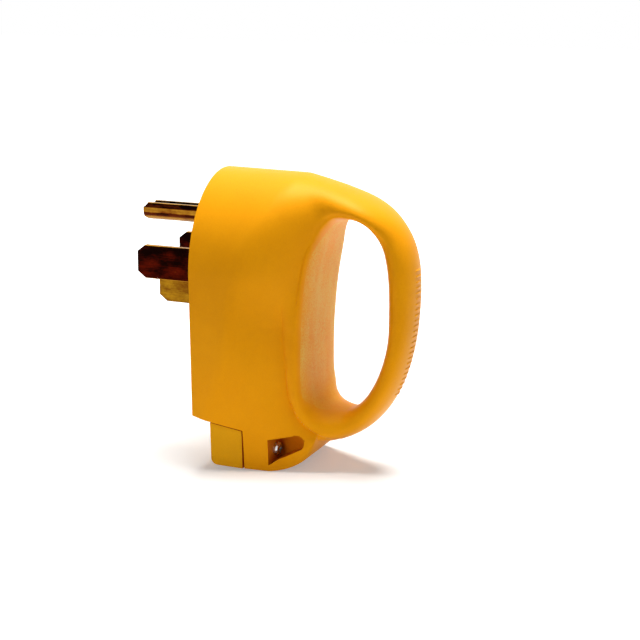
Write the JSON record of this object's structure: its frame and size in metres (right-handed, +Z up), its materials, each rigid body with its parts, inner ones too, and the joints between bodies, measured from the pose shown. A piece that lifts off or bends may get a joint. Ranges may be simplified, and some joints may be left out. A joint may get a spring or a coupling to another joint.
{
  "type": "rewireable plug head",
  "caption": "Rewireable high-current plug head with a D-shaped pull handle, straight blades, a U-shaped ground pin and a clamped cord outlet below.",
  "frame": {"origin": "on the mating face, midway between the two line blades", "axes": "-X along the blades into the receptacle, +X to the handle, +Z up to the ground pin, Y across the symmetry plane"},
  "size_m": [0.1412, 0.0802, 0.14],
  "materials": {
    "yellow_shell": "moulded, softly satin",
    "yellow_insert": "moulded, satin, a little darker",
    "black_insulator": "moulded phenolic",
    "brass": "drawn, brushed along the blade",
    "zinc_plate": "zinc plated, pressed",
    "bright_screw": "bright plated",
    "dark_screw": "black oxide"
  },
  "bodies": {
    "head": {"housing": "yellow_shell", "face_insert": "yellow_insert", "terminal_block": "black_insulator", "ground_pin": "brass", "neutral_blade": "brass", "line_blade_left": "brass", "line_blade_right": "brass", "face_screws": "dark_screw", "block_screws": "dark_screw"},
    "clamp_block": {"cord_clamp": "yellow_insert", "clamp_nuts": "bright_screw"},
    "clamp_bolt_left": {"clamp_screw_left": "bright_screw"},
    "clamp_bolt_right": {"clamp_screw_right": "bright_screw"},
    "ground_plate": {"ground_wire_clamp": "zinc_plate"},
    "ground_bolt": {"ground_terminal_screw": "bright_screw"},
    "neutral_plate": {"neutral_wire_clamp": "zinc_plate"},
    "neutral_bolt": {"neutral_terminal_screw": "bright_screw"},
    "left_plate": {"line_wire_clamp_left": "zinc_plate"},
    "left_bolt": {"line_terminal_screw_left": "bright_screw"},
    "right_plate": {"line_wire_clamp_right": "zinc_plate"},
    "right_bolt": {"line_terminal_screw_right": "bright_screw"}
  },
  "joints": [
    {"name": "clamp_screw_left_turn", "type": "hinge", "parent": "head", "child": "clamp_bolt_left", "pos_m": [0.034, -0.017, -0.0861], "axis": [1, 0, 0], "range_deg": [0, 2721.3]},
    {"name": "clamp_screw_right_turn", "type": "hinge", "parent": "head", "child": "clamp_bolt_right", "pos_m": [0.034, 0.017, -0.0861], "axis": [1, 0, 0], "range_deg": [0, 2721.3]},
    {"name": "cord_clamp_slide", "type": "slide", "parent": "head", "child": "clamp_block", "axis": [-1, 0, 0], "range_m": [0, 0.006]},
    {"name": "ground_plate_slide", "type": "slide", "parent": "head", "child": "ground_plate", "axis": [1, 0, 0], "range_m": [0, 0.005]},
    {"name": "ground_screw_turn", "type": "hinge", "parent": "ground_plate", "child": "ground_bolt", "pos_m": [0.0201, 0, 0.03268], "axis": [1, 0, 0], "range_deg": [0, 2267.7]},
    {"name": "neutral_plate_slide", "type": "slide", "parent": "head", "child": "neutral_plate", "axis": [1, 0, 0], "range_m": [0, 0.005]},
    {"name": "neutral_screw_turn", "type": "hinge", "parent": "neutral_plate", "child": "neutral_bolt", "pos_m": [0.0201, 0, -0.03155], "axis": [1, 0, 0], "range_deg": [0, 2267.7]},
    {"name": "left_plate_slide", "type": "slide", "parent": "head", "child": "left_plate", "axis": [1, 0, 0], "range_m": [0, 0.005]},
    {"name": "left_screw_turn", "type": "hinge", "parent": "left_plate", "child": "left_bolt", "pos_m": [0.0201, -0.021, -0.02205], "axis": [1, 0, 0], "range_deg": [0, 2267.7]},
    {"name": "right_plate_slide", "type": "slide", "parent": "head", "child": "right_plate", "axis": [1, 0, 0], "range_m": [0, 0.005]},
    {"name": "right_screw_turn", "type": "hinge", "parent": "right_plate", "child": "right_bolt", "pos_m": [0.0201, 0.021, -0.02205], "axis": [1, 0, 0], "range_deg": [0, 2267.7]}
  ],
  "couplings": [
    {"joint": "clamp_screw_left_turn", "follows": "cord_clamp_slide", "rad_per_m": 7915.8},
    {"joint": "clamp_screw_right_turn", "follows": "cord_clamp_slide", "rad_per_m": 7915.8},
    {"joint": "ground_screw_turn", "follows": "ground_plate_slide", "rad_per_m": 7915.8},
    {"joint": "neutral_screw_turn", "follows": "neutral_plate_slide", "rad_per_m": 7915.8},
    {"joint": "left_screw_turn", "follows": "left_plate_slide", "rad_per_m": 7915.8},
    {"joint": "right_screw_turn", "follows": "right_plate_slide", "rad_per_m": 7915.8}
  ]
}
